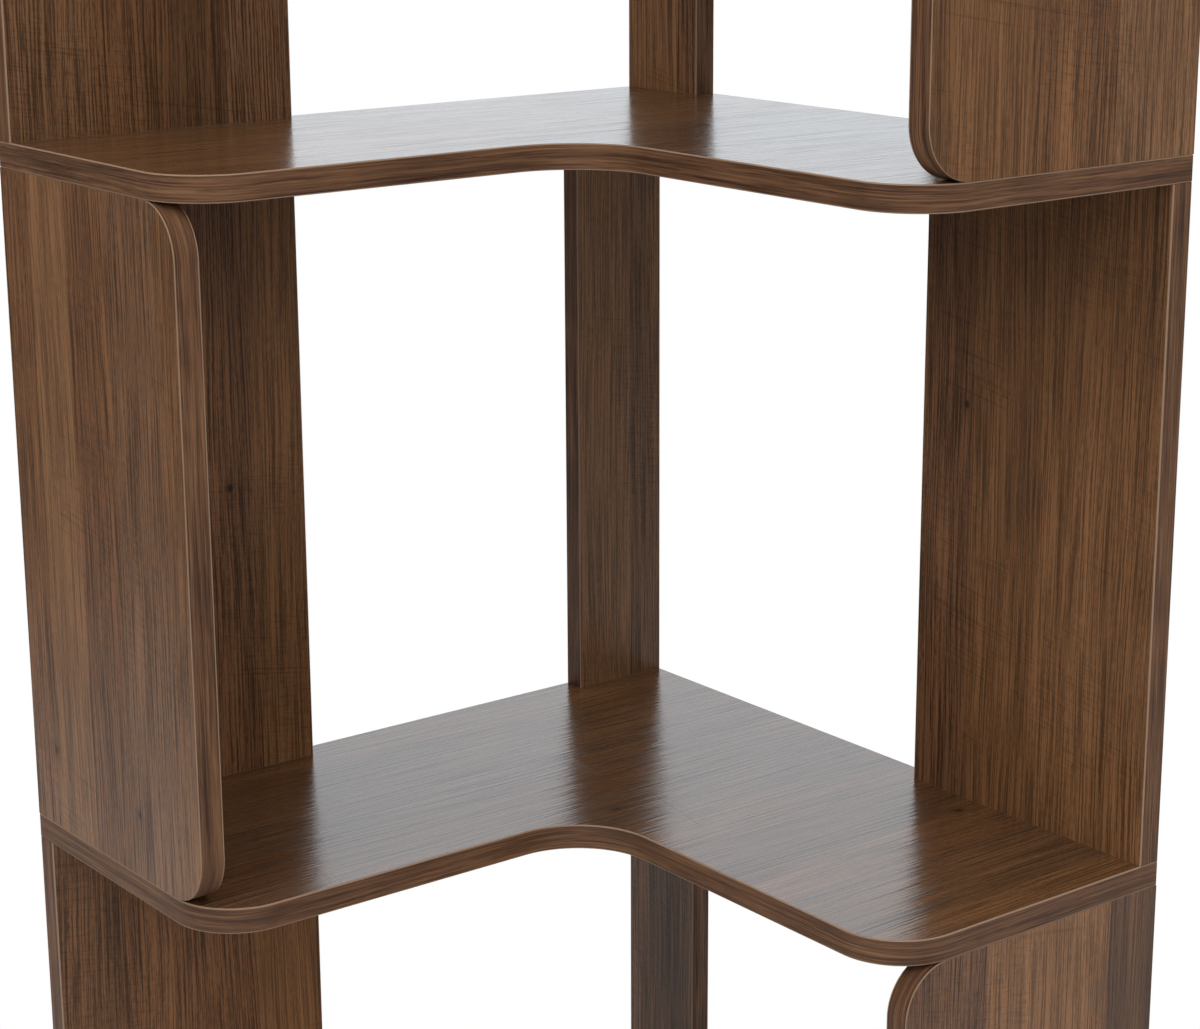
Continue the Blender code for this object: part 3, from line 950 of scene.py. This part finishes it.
def make_world():
    """Even light all round, plain white where it is seen, and a white backdrop where it is mirrored."""
    world = bpy.data.worlds.new("studio")
    world.use_nodes = True
    world.node_tree.nodes.clear()
    g = Graph(world.node_tree)
    path = g.node("ShaderNodeLightPath", output="Is Camera Ray")
    mirrored = g.maths("MAXIMUM", path.of("Is Glossy Ray"), path.of("Is Transmission Ray"))
    direction = g.node("ShaderNodeTexCoord", output="Generated")
    facing = g.node("ShaderNodeVectorMath", {"operation": "DOT_PRODUCT"},
                    {0: direction, 1: BACKDROP_SIDE}, output="Value")
    _, _, height = g.split(direction)
    backdrop = g.ease(facing, BACKDROP_EDGE, BACKDROP_FULL, FRONT_MIRRORED, BACKDROP_MIRRORED)
    rise = g.ease(height, BACKDROP_TOP_EDGE, BACKDROP_TOP_FULL, start=1.0, end=BACKDROP_TOP_GAIN)
    lighting = g.node("ShaderNodeBackground", {}, {"Color": PLAIN_WHITE, "Strength": EVEN_LIGHT})
    reflected = g.node("ShaderNodeBackground", {}, {"Color": COOL_WHITE, "Strength": backdrop * rise})
    white = g.node("ShaderNodeBackground", {}, {"Color": PLAIN_WHITE, "Strength": 1.0})
    surface = g.node("ShaderNodeMixShader", {}, {0: mirrored, 1: lighting, 2: reflected})
    surface = g.node("ShaderNodeMixShader", {}, {0: path, 1: surface, 2: white})
    g.node("ShaderNodeOutputWorld", {}, {"Surface": surface})
    bpy.context.scene.world = world


def make_lamp(name, place, target, size, power):
    """A square soft lamp that looks at a target and isn't mirrored as a patch."""
    light = bpy.data.lights.new(name, "AREA")
    light.size = size
    light.energy = power
    lamp = bpy.data.objects.new(name, light)
    lamp.location = place
    aim = Vector(target) - Vector(place)
    lamp.rotation_euler = aim.to_track_quat("-Z", "Y").to_euler()
    lamp.visible_glossy = False
    bpy.context.scene.collection.objects.link(lamp)


def make_camera():
    """The view of the photograph, from its yaw, its pitch down and its slight roll."""
    yaw = math.radians(CAMERA_YAW)
    pitch = math.radians(CAMERA_PITCH)
    roll = math.radians(CAMERA_ROLL)
    forward = Vector((-math.sin(yaw) * math.cos(pitch), math.cos(yaw) * math.cos(pitch),
                      -math.sin(pitch)))
    level = Vector((math.cos(yaw), math.sin(yaw), 0.0))
    upright = level.cross(forward)
    right = level * math.cos(roll) + upright * math.sin(roll)
    up = upright * math.cos(roll) - level * math.sin(roll)
    turn = Matrix((right, up, -forward)).transposed()
    lens = bpy.data.cameras.new("camera")
    lens.sensor_width = SENSOR_WIDTH
    lens.lens = CAMERA_LENS
    lens.clip_start = CAMERA_NEAR
    camera = bpy.data.objects.new("camera", lens)
    camera.matrix_world = Matrix.Translation(CAMERA_PLACE) @ turn.to_4x4()
    bpy.context.scene.collection.objects.link(camera)
    bpy.context.scene.camera = camera


# The bookcase

materials = {
    "shelf_walnut": walnut_laminate(
        "walnut_shelf_laminate",
        strength=0.715,
        strips=0.26,
        combing=0.70,
        pore_depth=0.31,
        relief_depth=SHELF_RELIEF,
        roughness=0.165,
        pore_roughness=0.12,
        plain={"IOR": 1.7},
    ),
    "panel_walnut": walnut_laminate(
        "walnut_panel_laminate",
        strength=0.97,
        strips=0.46,
        combing=0.92,
        pore_depth=0.22,
        relief_depth=PANEL_RELIEF,
        roughness=0.38,
        pore_roughness=0.10,
        plain={"IOR": 1.5, "Specular IOR Level": 0.32},
    ),
    "edging": walnut_edging("walnut_edging"),
    "beech": beech("beech_dowel"),
    "zinc_steel": zinc_steel("zinc_plated_steel"),
    "black_plastic": black_plastic("moulded_black_plastic"),
}
trees = {"board": board_tree(), "laying": laying_tree(), "turned": turned_tree()}

chance = random.Random(GRAIN_SEED)
for number in range(1, TIERS + 2):
    make_shelf(number, chance)
for tier in range(1, TIERS + 1):
    make_panel(f"left_back_panel_{tier}", chance)
    make_panel(f"right_back_panel_{tier}", chance)
    make_panel(f"corner_panel_{tier}", chance)
    make_panel(f"end_panel_{tier}", chance, rounded=True, sheet_start=END_PANEL_SHEET)
make_dowels()
make_studs()
make_screws()
make_glides()

make_floor()
make_world()
make_lamp("overhead_light", place=(0.3, -0.4, 3.4), target=OVERHEAD_TARGET, size=3.0, power=54.0)
make_lamp("left_light", place=(0.7, -3.0, 2.8), target=LAMP_TARGET, size=2.0, power=56.0)
make_lamp("right_light", place=(3.0, -0.3, 2.4), target=LAMP_TARGET, size=2.0, power=39.0)
make_lamp("back_light", place=(-2.4, 2.4, 2.2), target=LAMP_TARGET, size=2.0, power=11.0)
make_camera()
bpy.context.scene.view_settings.view_transform = "Standard"
